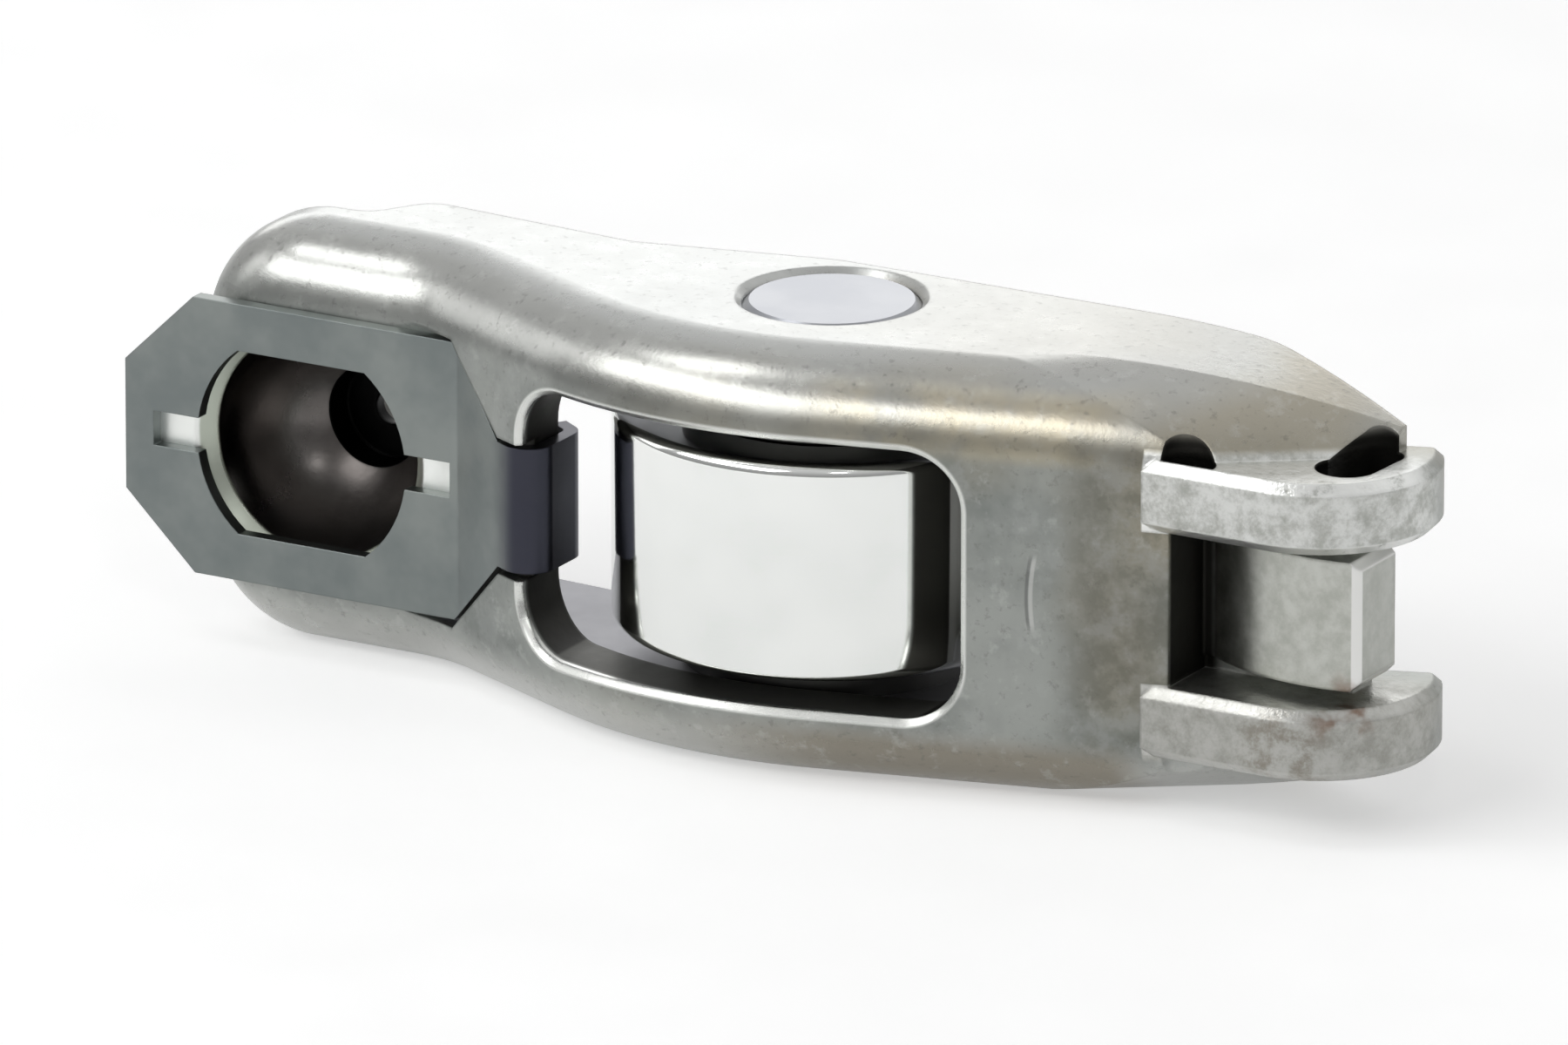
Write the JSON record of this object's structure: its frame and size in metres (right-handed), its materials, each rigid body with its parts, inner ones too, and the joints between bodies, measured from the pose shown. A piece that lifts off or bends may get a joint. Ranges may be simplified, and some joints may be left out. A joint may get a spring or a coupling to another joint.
{
  "type": "roller finger follower",
  "caption": "Stamped steel rocker arm that pivots on a ball socket, follows a cam with a needle-bearing roller and presses a valve with its pallet.",
  "frame": {"origin": "centre of the lash adjuster's ball, in the cup", "axes": "+X along the lever from the cup to the valve, -Y out of the cup's mouth and towards the valve, +Z along the roller's axle; the lever lies on its -Z side wall"},
  "size_m": [0.0571, 0.0178, 0.0176],
  "materials": {
    "stamped_steel": "tumbled bright steel",
    "spring_steel": "darker tempered spring steel",
    "axle_steel": "ground steel",
    "roller_steel": "ground and polished steel",
    "washer_steel": "dark hardened steel",
    "needle_steel": "ground and polished steel"
  },
  "bodies": {
    "lever": {"lever_body": "stamped_steel", "axle": "axle_steel", "retaining_clip": "spring_steel", "thrust_washer_upper": "washer_steel", "thrust_washer_lower": "washer_steel"},
    "roller": {"roller": "roller_steel"},
    "needle_row": {"needle_01": "needle_steel", "needle_02": "needle_steel", "needle_03": "needle_steel", "needle_04": "needle_steel", "needle_05": "needle_steel", "needle_06": "needle_steel", "needle_07": "needle_steel", "needle_08": "needle_steel", "needle_09": "needle_steel", "needle_10": "needle_steel", "needle_11": "needle_steel", "needle_12": "needle_steel", "needle_13": "needle_steel"}
  },
  "joints": [
    {"name": "roller_spin", "type": "hinge", "parent": "lever", "child": "roller", "pos_m": [0.0218, 0.003, 0], "axis": [0, 0, 1], "continuous": true},
    {"name": "needle_orbit", "type": "hinge", "parent": "lever", "child": "needle_row", "pos_m": [0.0218, 0.003, 0], "axis": [0, 0, 1], "continuous": true}
  ],
  "couplings": [
    {"joint": "needle_orbit", "follows": "roller_spin", "ratio": 0.6202}
  ]
}
